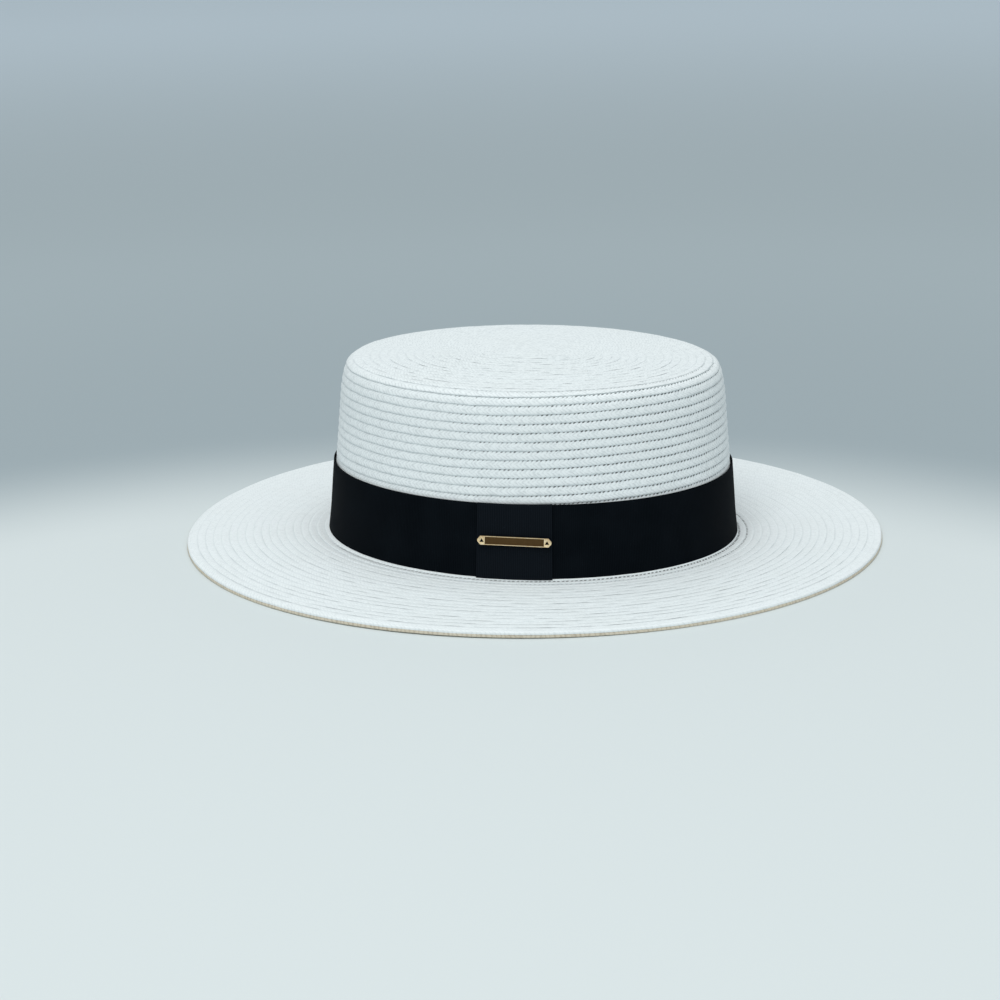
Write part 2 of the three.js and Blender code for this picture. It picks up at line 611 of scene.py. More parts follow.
# The braid of the row under the rim is coloured tan.
EDGE_STRAW = BraidFinish(
    "tan_paper_braid",
    face=(0.66, 0.60, 0.48, 1.0),
    # Painted shade between crossing strands, with random flecks of tone.
    gap_shade_and_fleck=(0.50, 0.44, 0.34, 1.0),
)


@dataclass(frozen=True)
class GrosgrainFinish:
    """A ribbon of fine dark ribs that run across its width.

    The rib and the pick are in millimetres on the flat ribbon; noise scales are in lumps a metre.
    """

    name: str
    face: Colour = (0.0012, 0.0022, 0.0036, 1.0)
    # Painted highlight on the crests of the ribs.
    rib_crest_highlight: Colour = (0.0030, 0.0050, 0.0072, 1.0)
    lint: Colour = (0.0062, 0.0090, 0.0122, 1.0)
    rib: float = 0.85
    pick: float = 0.33
    fibre_scale: float = 2600.0
    lint_scale: float = 60.0
    lint_share: float = 0.30
    relief: float = 0.06 * MM
    roughness: float = 0.70
    gloss_level: float = 0.025

    def make(self) -> bpy.types.Material:
        """Builds the material.

        Returns:
            The material.
        """
        desk = Desk(self.name)
        along, across, _ = desk.cut_place()
        fibres = desk.noise(self.fibre_scale)
        cloud = desk.noise(self.lint_scale)
        ribs = (along * (TAU / self.rib)).sine() * 0.5 + 0.5
        picks = (across * (TAU / self.pick)).sine() * 0.5 + 0.5
        weave = ribs * 0.8 + picks * ribs * 0.12 + fibres * 0.12
        # Painted highlight: the rib crests are lighter than the hollows between them.
        lit = desk.blend(weave.between(0.25, 0.95), self.face, self.rib_crest_highlight)
        colour = desk.blend(cloud.between(0.3, 0.75) * self.lint_share, lit, self.lint)
        return desk.finish(
            {
                "Base Color": colour,
                "Roughness": cloud.between(0.3, 0.7) * 0.08 + self.roughness,
                "Normal": desk.bump(weave, self.relief),
                "Specular IOR Level": self.gloss_level,
            }
        )


RIBBON = GrosgrainFinish("navy_black_grosgrain")
# The band's ribbon again, painted lighter: painted light on the tab, its rib crests included.
LIT_TAB_RIBBON = GrosgrainFinish(
    "navy_black_grosgrain_tab_lit",
    face=(0.0031, 0.0048, 0.0070, 1.0),
    rib_crest_highlight=(0.0074, 0.0102, 0.0145, 1.0),
)


@dataclass(frozen=True)
class GiltFinish:
    """Gilt metal: polished with fine wear, or brushed in lines across it, by a share from 0 to 1.

    The brush line is in millimetres on the flat bar, the wear's scale in lumps a metre.
    """

    name: str
    face: Colour = (1.0, 0.84, 0.58, 1.0)
    worn: Colour = (0.84, 0.60, 0.32, 1.0)
    roughness: float = 0.13
    brushed: float = 0.0
    brush_line: float = 0.42
    wear_scale: float = 900.0
    polished_depth: float = 0.01 * MM
    brushed_depth: float = 0.05 * MM

    def make(self) -> bpy.types.Material:
        """Builds the material.

        Returns:
            The material.
        """
        desk = Desk(self.name)
        wear = desk.noise(self.wear_scale, 3.0)
        along, _, _ = desk.cut_place()
        scratch = (along * (TAU / self.brush_line)).sine() * 0.5 + 0.5
        marks = scratch * self.brushed + wear * (1.0 - self.brushed)
        depth = self.polished_depth + self.brushed_depth * self.brushed
        return desk.finish(
            {
                "Base Color": desk.blend(marks.between(0.25, 0.8), self.worn, self.face),
                "Metallic": 1.0,
                "Roughness": marks * 0.12 + self.roughness,
                "Normal": desk.bump(marks, depth),
            }
        )


GILT = GiltFinish("polished_gilt")
GILT_FIELD = GiltFinish(
    "brushed_gilt_field",
    face=(0.15, 0.088, 0.036, 1.0),
    worn=(0.045, 0.025, 0.010, 1.0),
    roughness=0.34,
    brushed=0.8,
)
GILT_SIDES = GiltFinish(
    "shaded_gilt",
    face=(0.30, 0.18, 0.075, 1.0),
    worn=(0.10, 0.055, 0.022, 1.0),
    roughness=0.25,
)


@dataclass(frozen=True)
class FloorFinish:
    """A matt floor: pale round the hat as a painted pool of light, a cool grey behind it, and a little
    lighter again far away, as painted light that makes up for the light falling off there.

    The rings are shares of the reach, from a middle just in front of the hat.
    """

    name: str = "studio_floor"
    middle: tuple[float, float] = (0.0, -0.35)
    reach: float = 4.0
    light_and_backdrop_rings: tuple[tuple[float, Colour], ...] = (
        # A painted pool of light round the hat, the cool grey behind it, then painted light far away.
        (0.096, (0.640, 0.700, 0.708, 1.0)),
        (0.140, (0.318, 0.384, 0.415, 1.0)),
        (0.300, (0.370, 0.442, 0.474, 1.0)),
        (0.900, (0.600, 0.710, 0.790, 1.0)),
    )
    roughness: float = 0.8

    def make(self) -> bpy.types.Material:
        """Builds the material.

        Returns:
            The material.
        """
        desk = Desk(self.name)
        place = desk.node("ShaderNodeTexCoord", {}, {})
        moved = desk.node(
            "ShaderNodeVectorMath",
            {"operation": "SUBTRACT"},
            {0: place.outputs["Object"], 1: (*self.middle, 0.0)},
        )
        away = desk.node("ShaderNodeVectorMath", {"operation": "LENGTH"}, {0: moved.outputs[0]})
        share = Value(desk, away.outputs["Value"]) / self.reach
        light_and_backdrop_rings = desk.node("ShaderNodeValToRGB", {"stops": self.light_and_backdrop_rings}, {0: share})
        light_and_backdrop_rings.color_ramp.interpolation = "EASE"
        return desk.finish({"Base Color": light_and_backdrop_rings.outputs["Color"], "Roughness": self.roughness})


# ---- the blocks that the straw is shaped on -----------------------------------------------


@dataclass(frozen=True)
class CrownBlock:
    """The block under the crown: an oval top, a tight shoulder and a wall that opens to the foot.

    The outline goes from the middle of the tip to the foot, as half width and height in
    millimetres; the oval is longer than wide by the same length at every height.
    """

    oval: float = OVAL
    lean: float = LEAN
    outline: tuple[tuple[float, float], ...] = (
        (0.0, 91.3),
        (40.0, 91.3),
        (70.6, 90.8),
        (73.8, 90.1),
        (76.2, 88.0),
        (77.8, 83.5),
        (79.2, 75.5),
        (82.4, 38.5),
        (84.2, 15.0),
        (85.1, 7.5),
        (85.8, 2.6),
    )
    softening: float = 1.1 * MM
    step: float = 0.2 * MM

    @cached_property
    def line(self) -> tuple[Array, Array, Array, Array, Array]:
        """The softened outline as close points: length from the middle, half width, height, normal."""
        corners = np.array(self.outline) * MM
        legs = lengths_along(corners)
        along = np.arange(0.0, legs[-1], self.step)
        wide = np.interp(along, legs, corners[:, 0])
        high = np.interp(along, legs, corners[:, 1])
        reach = int(4 * self.softening / self.step)
        offsets = np.arange(-reach, reach + 1) * self.step
        weights = np.exp(-0.5 * (offsets / self.softening) ** 2)
        weights /= weights.sum()
        wide = self._softened(wide, weights, reach)
        high = self._softened(high, weights, reach)
        steps = np.hypot(np.diff(wide), np.diff(high))
        along = np.concatenate([[0.0], np.cumsum(steps)])
        slope_wide = np.gradient(wide, along)
        slope_high = np.gradient(high, along)
        return along, wide, high, -slope_high, slope_wide

    @staticmethod
    def _softened(values: Array, weights: Array, reach: int) -> Array:
        """Rounds a line of values off, keeping both its ends.

        Args:
            values: The values along the line.
            weights: The weights of the rounding.
            reach: How many values the rounding takes in on each side.

        Returns:
            The rounded values.
        """
        before = 2.0 * values[0] - values[1 : reach + 1][::-1]
        after = 2.0 * values[-1] - values[-reach - 1 : -1][::-1]
        return np.convolve(np.concatenate([before, values, after]), weights, "valid")

    @property
    def length(self) -> float:
        """The length of the outline from the middle of the tip to the foot."""
        return float(self.line[0][-1])

    def reach_at(self, height: Array | float) -> Array:
        """Finds how far down the outline a height on the wall is.

        Args:
            height: Heights on the wall.

        Returns:
            The lengths from the middle of the tip.
        """
        along, _, high, _, _ = self.line
        return np.interp(-height, -high, along)

    def place(self, down: Array, angle: Array, out: Array) -> Array:
        """Puts points on the crown.

        Args:
            down: Lengths down the outline from the middle of the tip.
            angle: Angles round the oval.
            out: Distances outwards from the outer face.

        Returns:
            The points.
        """
        along, wide, high, out_wide, out_high = self.line
        past = np.maximum(down - self.length, 0.0)
        half = np.interp(down, along, wide) + np.minimum(down, 0.0) + past * out_high[-1]
        half = half + out * np.interp(down, along, out_wide)
        tall = np.interp(down, along, high) - past * out_wide[-1]
        tall = tall + out * np.interp(down, along, out_high)
        x = (half + self.oval) * np.cos(angle)
        y = half * np.sin(angle)
        turned_x = x * math.cos(self.lean) + tall * math.sin(self.lean)
        turned_z = -x * math.sin(self.lean) + tall * math.cos(self.lean)
        return np.stack([turned_x, y, turned_z], axis=1)

    def place_at_height(self, height: Array, angle: Array, out: Array) -> Array:
        """Puts points on the wall by their height before the crown leans.

        Args:
            height: Heights on the wall.
            angle: Angles round the oval.
            out: Distances outwards from the outer face, level with the resting plane.

        Returns:
            The points.
        """
        return self.place(self.reach_at(height), angle, out)


@dataclass(frozen=True)
class BrimBlock:
    """The brim's top face: it leaves the leaning foot of the crown and ends in a gently waved rim.

    A fillet lifts it a little next to the crown. Each wave of the rim is a number of lobes round the
    oval with its cosine and sine parts in millimetres; its lowest lobes settle on the resting plane.
    """

    oval: float = OVAL
    lean: float = LEAN
    start: float = 86.2 * MM
    rim: float = 158.1 * MM
    head_line: float = 3.3 * MM
    rim_top: float = 2.8 * MM
    fillet: float = 3.6 * MM
    fillet_rise: float = 0.6 * MM
    settled: float = 0.15 * MM
    waves: tuple[tuple[int, float, float], ...] = (
        (1, -0.45, 0.41),
        (2, -0.17, -0.46),
        (3, 0.27, 0.22),
    )

    def wave(self, angle: Array) -> Array:
        """Gives the rim's wave.

        Args:
            angle: Angles round the oval.

        Returns:
            Heights, before the lowest lobes are laid on the resting plane.
        """
        total = np.zeros_like(angle)
        for lobes, cosine, sine in self.waves:
            total += cosine * MM * np.cos(lobes * angle) + sine * MM * np.sin(lobes * angle)
        return total

    @cached_property
    def lowest(self) -> float:
        """The lowest height of the rim's wave."""
        return float(self.wave(np.linspace(0.0, TAU, 97)).min())

    def rim_lift(self, angle: Array) -> Array:
        """Gives how far the rim stands off the resting plane.

        Args:
            angle: Angles round the oval.

        Returns:
            Heights from 0 up.
        """
        return np.maximum(0.0, self.wave(angle) - self.lowest - self.settled)

    def place(self, wide: Array, angle: Array, out: Array) -> Array:
        """Puts points on the brim.

        Args:
            wide: Half widths of the oval.
            angle: Angles round the oval.
            out: Distances above the top face.

        Returns:
            The points.
        """
        x = (wide + self.oval) * np.cos(angle)
        y = wide * np.sin(angle)
        share = ease((wide - self.start) / (self.rim - self.start))
        at_head = self.head_line - x * math.tan(self.lean)
        in_fillet = np.clip(1.0 - (wide - self.start) / self.fillet, 0.0, 1.0)
        at_head = at_head + self.fillet_rise * in_fillet * in_fillet
        at_rim = self.rim_top + self.rim_lift(angle)
        return np.stack([x, y, at_head * (1.0 - share) + at_rim * share + out], axis=1)


# ---- the plaited tape ---------------------------------------------------------------------


@dataclass(frozen=True)
class PlaitUnit:
    """The repeat of the plaited tape: two loops of its scalloped edge and two pin holes.

    The section goes round the tape, as places across it, where 0 is the tucked edge of what shows
    and 1 the lapping edge, and depths below its face in millimetres. The pit is the number of the
    section point that sinks into a pin hole, or None on tape that is pressed shut. The edge points
    are the numbers of those that stand out in loops. The scallop is in millimetres, and the pair
    shift, which draws two pin holes together, is a share of the unit's length.
    """

    section: tuple[tuple[float, float], ...]
    edge_points: tuple[int, ...]
    pit: int | None = None
    length: float = 4.3 * MM
    pitch: float = ROW_PITCH
    columns: int = 4
    scallop: float = 0.16
    pit_depth: float = 0.40
    pair_shift: float = 0.04

    def build(self, name: str) -> bpy.types.Object:
        """Shapes one unit from a flat grid.

        Args:
            name: The object's name.

        Returns:
            The unit as an open tube: X runs along the tape, Y across it and Z out of its face.
        """
        around = len(self.section)
        deselect_all()
        bpy.ops.mesh.primitive_grid_add(
            x_subdivisions=self.columns,
            y_subdivisions=around,
            size=1.0,
            location=(0.5, 0.5, 0.0),
        )
        unit = newly_added(name)
        bpy.ops.object.transform_apply(location=True)
        with edit_mode(unit):
            self._roll_into_tube(unit, around)
            self._raise_loops(unit)
            select_points(unit, lambda point: True)
            bpy.ops.transform.resize(value=(self.length, 1.0, 1.0), center_override=(0.0, 0.0, 0.0))
        return unit

    def _roll_into_tube(self, unit: bpy.types.Object, around: int) -> None:
        """Moves the grid's rows onto the section and joins the last row to the first.

        Args:
            unit: The grid, in edit mode.
            around: How many points the section has.
        """
        set_aside = 10.0
        near = 0.2 / around
        for row in range(around + 1):
            across, depth = self.section[row % around]
            at = row / around
            select_points(unit, lambda point: abs(point.y - at) < near and point.y < set_aside / 2)
            shift_selected(y=set_aside + across * self.pitch - at, z=-depth * MM)
        select_points(unit, lambda point: True)
        shift_selected(y=-set_aside)
        bpy.ops.mesh.remove_doubles(threshold=1e-6)

    def _raise_loops(self, unit: bpy.types.Object) -> None:
        """Lets the lapping edge out between the pin holes, draws the holes in and pairs them.

        Args:
            unit: The tube, in edit mode.
        """
        if not self.edge_points:
            return
        step = 1.0 / self.columns
        for number in self.edge_points:
            self._select_on_line(unit, number, lambda column: column % 2 == 0)
            shift_selected(y=self.scallop * MM)
        if self.pit is not None:
            self._select_on_line(unit, self.pit, lambda column: column % 2 == 1)
            shift_selected(z=-self.pit_depth * MM)
        for odd, way in ((1, 1.0), (3, -1.0)):
            select_points(unit, lambda point: abs(point.x / step - odd) < 0.1)
            shift_selected(x=way * self.pair_shift)

    def _select_on_line(self, unit: bpy.types.Object, number: int, wanted: Callable[[int], bool]) -> None:
        """Selects points of one line along the tape.

        Args:
            unit: The tube, in edit mode, one unit long.
            number: The number of the section point that the line goes through.
            wanted: Says for a column's number whether its point is selected.
        """
        across, depth = self.section[number]
        close = 1e-6
        select_points(
            unit,
            lambda point: wanted(round(point.x * self.columns))
            and abs(point.y - across * self.pitch) < close
            and abs(point.z + depth * MM) < close,
        )

    def pressed(self, share: float) -> "PlaitUnit":
        """Gives the same tape with its face pressed flatter.

        Args:
            share: How much of the depth of the face is left, from 0 to 1.

        Returns:
            The flatter tape.
        """
        last = self.edge_points[-1]
        flatter = [(across, depth * share) for across, depth in self.section[:last]]
        return replace(self, section=(*flatter, *self.section[last:]))

    def repeat(self, name: str, count: int) -> bpy.types.Object:
        """Makes a straight length of tape.

        Args:
            name: The object's name.
            count: How many units long it is.

        Returns:
            The tape, as one closed body.
        """
        tape = self.build(name)
        rows = tape.modifiers.new("repeat", "ARRAY")
        rows.count = count
        rows.use_relative_offset = False
        rows.use_constant_offset = True
        rows.constant_offset_displace = (self.length, 0.0, 0.0)
        rows.use_merge_vertices = True
        rows.merge_threshold = 0.01 * MM
        apply_modifiers(tape)
        for end in (0.0, count * self.length):
            with edit_mode(tape):
                select_points(tape, lambda point: abs(point.x - end) < 0.01 * MM)
                bpy.ops.mesh.edge_face_add()
        return tape


# Each section goes from the tucked edge over the face to the lapping edge and back underneath.
OPEN_PLAIT = PlaitUnit(
    section=(
        (-0.15, 0.80), (0.03, 0.54), (0.15, 0.43), (0.29, 0.30),
        (0.60, 0.10), (0.86, 0.00), (0.99, 0.07), (1.02, 0.30),
        (0.97, 0.50), (0.50, 1.00), (-0.13, 1.30),
    ),
    edge_points=(6, 7, 8),
    pit=2,
)
PRESSED_PLAIT = PlaitUnit(
    section=(
        (-0.15, 0.50), (0.05, 0.18), (0.30, 0.08), (0.86, 0.00),
        (0.99, 0.04), (1.01, 0.18), (0.50, 0.90), (-0.13, 1.30),
    ),
    edge_points=(4, 5),
    scallop=0.08,
)
FOOT_PLAIT = replace(
    OPEN_PLAIT,
    section=(
        (-0.15, 0.75), (0.01, 0.42), (0.20, 0.34), (0.42, 0.18),
        (0.62, 0.08), *OPEN_PLAIT.section[5:],
    ),
)
FLAT_PLAIT = PlaitUnit(
    section=(
        (-0.15, 0.45), (0.06, 0.11), (0.34, 0.04), (0.88, 0.00),
        (0.99, 0.02), (1.01, 0.15), (0.50, 0.85), (-0.13, 1.20),
    ),
    edge_points=(4, 5),
    scallop=0.08,
)
THICK_PLAIT = PlaitUnit(
    section=(
        (-0.15, 0.50), (0.05, 0.21), (0.30, 0.08), (0.66, 0.02),
        (0.86, 0.14), (0.96, 0.42), (1.00, 0.85), (0.99, 1.42),
        (-0.13, 1.42),
    ),
    edge_points=(6, 7),
    scallop=0.04,
)
HIDDEN_PLAIT = PlaitUnit(
    section=((-0.15, 0.80), (0.86, 0.00), (1.01, 0.40), (-0.13, 1.30)),
    edge_points=(),
    columns=1,
)


@dataclass(frozen=True)
class Length:
    """A length of tape to lay: its name and repeat, and where it starts and ends, in radians."""

    name: str
    unit: PlaitUnit
    first: float
    last: float


@dataclass(frozen=True)
class Spiral:
    """How a tape is laid: its lapping edge moves outwards by one pitch a turn.

    The edge distance is how far out the lapping edge is where the spiral crosses +X, for turn 0. The
    tape's last turn stays at the distance where it is pressed in, and from some way round it goes
    under the turn before. No point comes nearer than the nearest distance.
    """

    surface: Callable[[Array, Array, Array], Array]
    edge: float
    pitch: float = ROW_PITCH
    way: Turn = Turn.CLOCKWISE
    sway: Callable[[Array, Array], Array] | None = None
    pressed_in_from: float | None = None
    nearest: float | None = None
    tuck_from: float = 0.45
    tuck_over: float = 0.45
    tuck_depth: float = 0.55 * MM
    tuck_flat: float = 0.6
    lift_share: float = 0.45

    def edge_at(self, turned: Array) -> Array:
        """Gives the distance of the lapping edge.

        Args:
            turned: How far the spiral has turned, in radians.

        Returns:
            The distance out from the middle.
        """
        free = self.edge + self.pitch * turned / TAU
        if self.pressed_in_from is None:
            return free
        return np.minimum(free, self.pressed_in_from)

    def turned_at(self, edge: float) -> float:
        """Gives how far the spiral has turned where its lapping edge is at a distance.

        Args:
            edge: The distance of the lapping edge.

        Returns:
            The turn in radians.
        """
        return (edge - self.edge) / self.pitch * TAU

    def angle_at(self, turned: Array) -> Array:
        """Gives the angle round the oval for a turn of the spiral."""
        return self.way.value * turned

    def behind_at(self, edge: float) -> float:
        """Finds the turn where the spiral is behind, next after its lapping edge is near a distance.

        Args:
            edge: The distance of the lapping edge.

        Returns:
            The turn in radians.
        """
        return TAU * round(self.turned_at(edge) / TAU) + BEHIND

    def lay(
        self,
        length: Length,
        wander: HandWander,
        openness: Callable[[Array, Array], Array],
    ) -> bpy.types.Object:
        """Cuts a length of tape and lays it along the spiral.

        Args:
            length: The length of tape.
            wander: The unevenness of the sewing.
            openness: Says for distances and angles how open the pin holes are, from 0 to 1.

        Returns:
            The laid tape.
        """
        unit, first, last = length.unit, length.first, length.last
        turns = np.linspace(first, last, int((last - first) / math.radians(0.5)))
        middle = self.edge_at(turns) - 0.5 * self.pitch
        course = self.surface(middle, self.angle_at(turns), np.zeros_like(turns))
        run = lengths_along(course)
        count = max(2, round(run[-1] / unit.length))
        tape = unit.repeat(length.name, count)
        flat = read_points(tape)
        stretch = run[-1] / (count * unit.length)
        along = flat[:, 0] * stretch
        turned = np.interp(along, run, turns)
        angle = self.angle_at(turned)
        across = flat[:, 1] / unit.pitch
        edge = self.edge_at(turned)
        width = np.minimum(self.pitch, edge)
        # Every length, and the lift next to the sideways wander, has its own stretch of unevenness.
        sewn_run = along + 0.37 * first
        out, open_share = self._opened(unit, flat, across, angle, edge, openness)
        cut = np.stack([flat[:, 0] / MM, flat[:, 1] / MM, open_share], axis=1)
        distance = edge - (1.0 - across) * width + wander.at(sewn_run)
        out = out + self.lift_share * wander.at(sewn_run * 1.7 + 5.0)
        if self.pressed_in_from is not None:
            past = (turned - self.turned_at(self.pressed_in_from)) / TAU
            tucked = ease((past - self.tuck_from) / self.tuck_over)
            out = (1.0 - tucked) * out + tucked * (self.tuck_flat * out - self.tuck_depth)
        if self.sway is not None:
            distance = distance + self.sway(distance, angle)
        if self.nearest is not None:
            distance = np.maximum(distance, self.nearest)
        write_points(tape, self.surface(distance, angle, out))
        keep_as_cut(tape, cut)
        return tape

    def _opened(
        self,
        unit: PlaitUnit,
        flat: Array,
        across: Array,
        angle: Array,
        edge: Array,
        openness: Callable[[Array, Array], Array],
    ) -> tuple[Array, Array]:
        """Closes the pin holes where the plait is pressed shut.

        Args:
            unit: The tape's repeat.
            flat: The flat tape's points.
            across: Their places across the tape, where 1 is the lapping edge.
            angle: Their angles round the oval.
            edge: The distances of the lapping edge at them.
            openness: Says for distances and angles how open the pin holes are.

        Returns:
            The points' distances out of the face, and how open a pin hole is at each.
        """
        out = flat[:, 2].copy()
        open_share = np.zeros_like(out)
        if unit.pit is None:
            return out, open_share
        pit_across, pit_level = unit.section[unit.pit]
        on_line = np.abs(across - pit_across) < 0.02
        sunk = on_line & (out < -(pit_level + 0.5 * unit.pit_depth) * MM)
        open_share[sunk] = openness(edge[sunk], angle[sunk])
        out[sunk] = -pit_level * MM - unit.pit_depth * MM * open_share[sunk]
        return out, open_share


# ---- sub-assemblies -----------------------------------------------------------------------


def hand_over(piece: bpy.types.Object, slot: Slot, *nodes: str) -> bpy.types.Object:
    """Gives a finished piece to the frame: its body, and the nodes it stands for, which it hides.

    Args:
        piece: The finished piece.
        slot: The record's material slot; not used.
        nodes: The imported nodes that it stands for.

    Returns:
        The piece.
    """
    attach(piece, "root")
    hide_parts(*nodes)
    piece.data.calc_loop_triangles()
    LOG.info("%s: %d triangles", piece.name, len(piece.data.loop_triangles))
    return piece


def dress(piece: bpy.types.Object, *materials: bpy.types.Material) -> None:
    """Gives a piece its materials, in the order of its faces' material numbers.

    Args:
        piece: The piece.
        materials: Its materials.
    """
    for material in materials:
        piece.data.materials.append(material)


def finish_braid(
    lengths: Sequence[bpy.types.Object], straw: bpy.types.Material, node: str
) -> bpy.types.Object:
    """Makes one finished piece of laid lengths of bleached tape.

    Args:
        lengths: The laid lengths, the first of which has the piece's name.
        straw: The finish of the braid.
        node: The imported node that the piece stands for.

    Returns:
        The piece.
    """
    piece = joined(lengths)
    smooth_with_creases(piece, STRAW_CREASE_DEG)
    dress(piece, straw)
    return hand_over(piece, Slot.STRAW, node)


@dataclass(frozen=True)
class SewnCrown:
    """The crown: one spiral of braid from the middle of the tip down the wall to the foot.

    The swell is the wall rows' wave, as lobes round the oval with cosine and sine parts in millimetres;
    the climb is how much higher the rows run in front than at the ends. Angles round the oval are in
    degrees. The pin holes stand most open at one place round the wall.
    """

    block: CrownBlock = CrownBlock()
    pitch: float = ROW_PITCH
    edge: float = 1.9 * MM
    first_edge: float = 1.1 * MM
    side_from: float = 72.0 * MM
    shoulder_press: float = 0.45
    hidden_below: float = 33.0 * MM
    foot_gap: float = 0.3 * MM
    swell: tuple[tuple[int, float, float], ...] = (
        (1, 0.30, 0.0),
        (2, 0.0, 0.30),
    )
    climb: float = 0.95 * MM
    front_rise_deg: tuple[float, float] = (-108.0, -50.0)
    back_fall_deg: tuple[float, float] = (30.0, 150.0)
    sway_from: float = 50.0 * MM
    sway_over: float = 25.0 * MM
    most_open_deg: float = -46.0
    open_least: float = 0.05
    open_most: float = 0.98
    open_fall: float = 2.5
    open_spread: tuple[float, float] = (-0.28, 0.16)

    def sway(self, distance: Array, angle: Array) -> Array:
        """Says how far the rows on the wall rise and dip from a true spiral.

        Args:
            distance: Distances down the outline.
            angle: Angles round the oval.

        Returns:
            How far each point moves down.
        """
        total = np.zeros_like(angle)
        for lobes, cosine, sine in self.swell:
            total += cosine * MM * np.cos(lobes * angle) + sine * MM * np.sin(lobes * angle)
        side = np.degrees(np.mod(angle + math.pi, TAU) - math.pi)
        rise_start, rise_end = self.front_rise_deg
        fall_start, fall_end = self.back_fall_deg
        up_in_front = 2.0 * ease((side - rise_start) / (rise_end - rise_start)) - 1.0
        down_behind = 2.0 * ease((side - fall_start) / (fall_end - fall_start))
        total += self.climb * (up_in_front - down_behind)
        return -total * ease((distance - self.sway_from) / self.sway_over)

    def wall_openness(self, distance: Array, angle: Array) -> Array:
        """Says how open the pin holes are on the wall: most on the front and its right.

        Args:
            distance: Distances down the outline.
            angle: Angles round the oval.

        Returns:
            Shares from 0 to 1.
        """
        draw = np.random.default_rng(11)
        facing = 0.5 + 0.5 * np.cos(angle - math.radians(self.most_open_deg))
        loose = draw.uniform(*self.open_spread, distance.shape)
        reach = self.open_most - self.open_least
        return np.clip(self.open_least + reach * facing**self.open_fall + loose, 0.0, 1.0)

    def build(self, straw: bpy.types.Material) -> list[bpy.types.Object]:
        """Lays the tip and the side.

        Args:
            straw: The finish of the braid.

        Returns:
            The two pieces.
        """
        spiral = Spiral(self.block.place, self.edge, self.pitch, sway=self.sway)
        start = spiral.turned_at(self.first_edge)
        parting = spiral.behind_at(self.side_from)
        under_band = spiral.behind_at(self.block.reach_at(self.hidden_below))
        foot = spiral.turned_at(self.block.length - self.foot_gap)
        even = HandWander(seed=3, reach=0.13 * MM, longest=0.21, shortest=0.011)
        soft = OPEN_PLAIT.pressed(self.shoulder_press)
        lengths = (
            Length("crown_tip_braid", FLAT_PLAIT, start, parting),
            Length("crown_side_braid", soft, parting, parting + TAU),
            Length("crown_wall_rows", OPEN_PLAIT, parting + TAU, under_band),
            Length("crown_foot_rows", HIDDEN_PLAIT, under_band, foot),
        )
        tip, *side = (spiral.lay(length, even, self.wall_openness) for length in lengths)
        return [finish_braid(rows, straw, "crown") for rows in ([tip], side)]


@dataclass(frozen=True)
class SewnBrim:
    """The brim: the spiral goes on outwards from the head line, and its last turn is pressed under.

    Turns are counted from behind. The inner and outer turns are two pieces. The pin holes are open up
    to a distance and shut past it, and stand most open at one place round the crown.
    """

    block: BrimBlock = BrimBlock()
    rows: int = 17
    first_edge: float = 89.9 * MM
    foot: float = 84.6 * MM
    open_turns: float = 2.25
    inner_turns: int = 9
    thick_turns: float = 1.0
    pressed_turns: float = 0.97
    open_to: float = 92.4 * MM
    shut_over: float = 6.2 * MM
    most_open_deg: float = -60.0
    facing_from: float = 0.35
    facing_over: float = 0.3
    open_share: float = 0.95
    open_spread: tuple[float, float] = (-0.3, 0.05)

    def openness(self, distance: Array, angle: Array) -> Array:
        """Says how open the pin holes are: in the rows next to the crown, in front and on its right.

        Args:
            distance: Half widths of the oval.
            angle: Angles round the oval.

        Returns:
            Shares from 0 to 1.
        """
        draw = np.random.default_rng(21)
        near_crown = 1.0 - ease((distance - self.open_to) / self.shut_over)
        facing = 0.5 + 0.5 * np.cos(angle - math.radians(self.most_open_deg))
        in_front = ease((facing - self.facing_from) / self.facing_over)
        loose = draw.uniform(*self.open_spread, distance.shape)
        return near_crown * in_front * np.clip(self.open_share + loose, 0.0, 1.0)

    def build(self, straw: bpy.types.Material) -> list[bpy.types.Object]:
        """Lays the brim.

        Args:
            straw: The finish of the braid.

        Returns:
            The two pieces: the inner rows and the outer ones.
        """
        pitch = (self.block.rim - self.first_edge) / self.rows
        spiral = Spiral(
            self.block.place,
            self.first_edge - pitch * BEHIND / TAU,
            pitch,
            pressed_in_from=self.block.rim,
            nearest=self.foot,
        )
        even = HandWander(seed=5, reach=0.10 * MM, longest=0.33, shortest=0.017)
        last_flat = self.rows - self.thick_turns
        lengths = (
            ("brim_inner_braid", FOOT_PLAIT, -1.0, self.open_turns),
            ("brim_inner_rows", PRESSED_PLAIT, self.open_turns, self.inner_turns),
            ("brim_outer_braid", PRESSED_PLAIT, self.inner_turns, last_flat),
            ("brim_edge_row", THICK_PLAIT, last_flat, self.rows + self.pressed_turns),
        )
        laid = []
        for name, unit, first, last in lengths:
            length = Length(name, unit, BEHIND + first * TAU, BEHIND + last * TAU)
            laid.append(spiral.lay(length, even, self.openness))
        return [finish_braid(rows, straw, "brim") for rows in (laid[:2], laid[2:])]


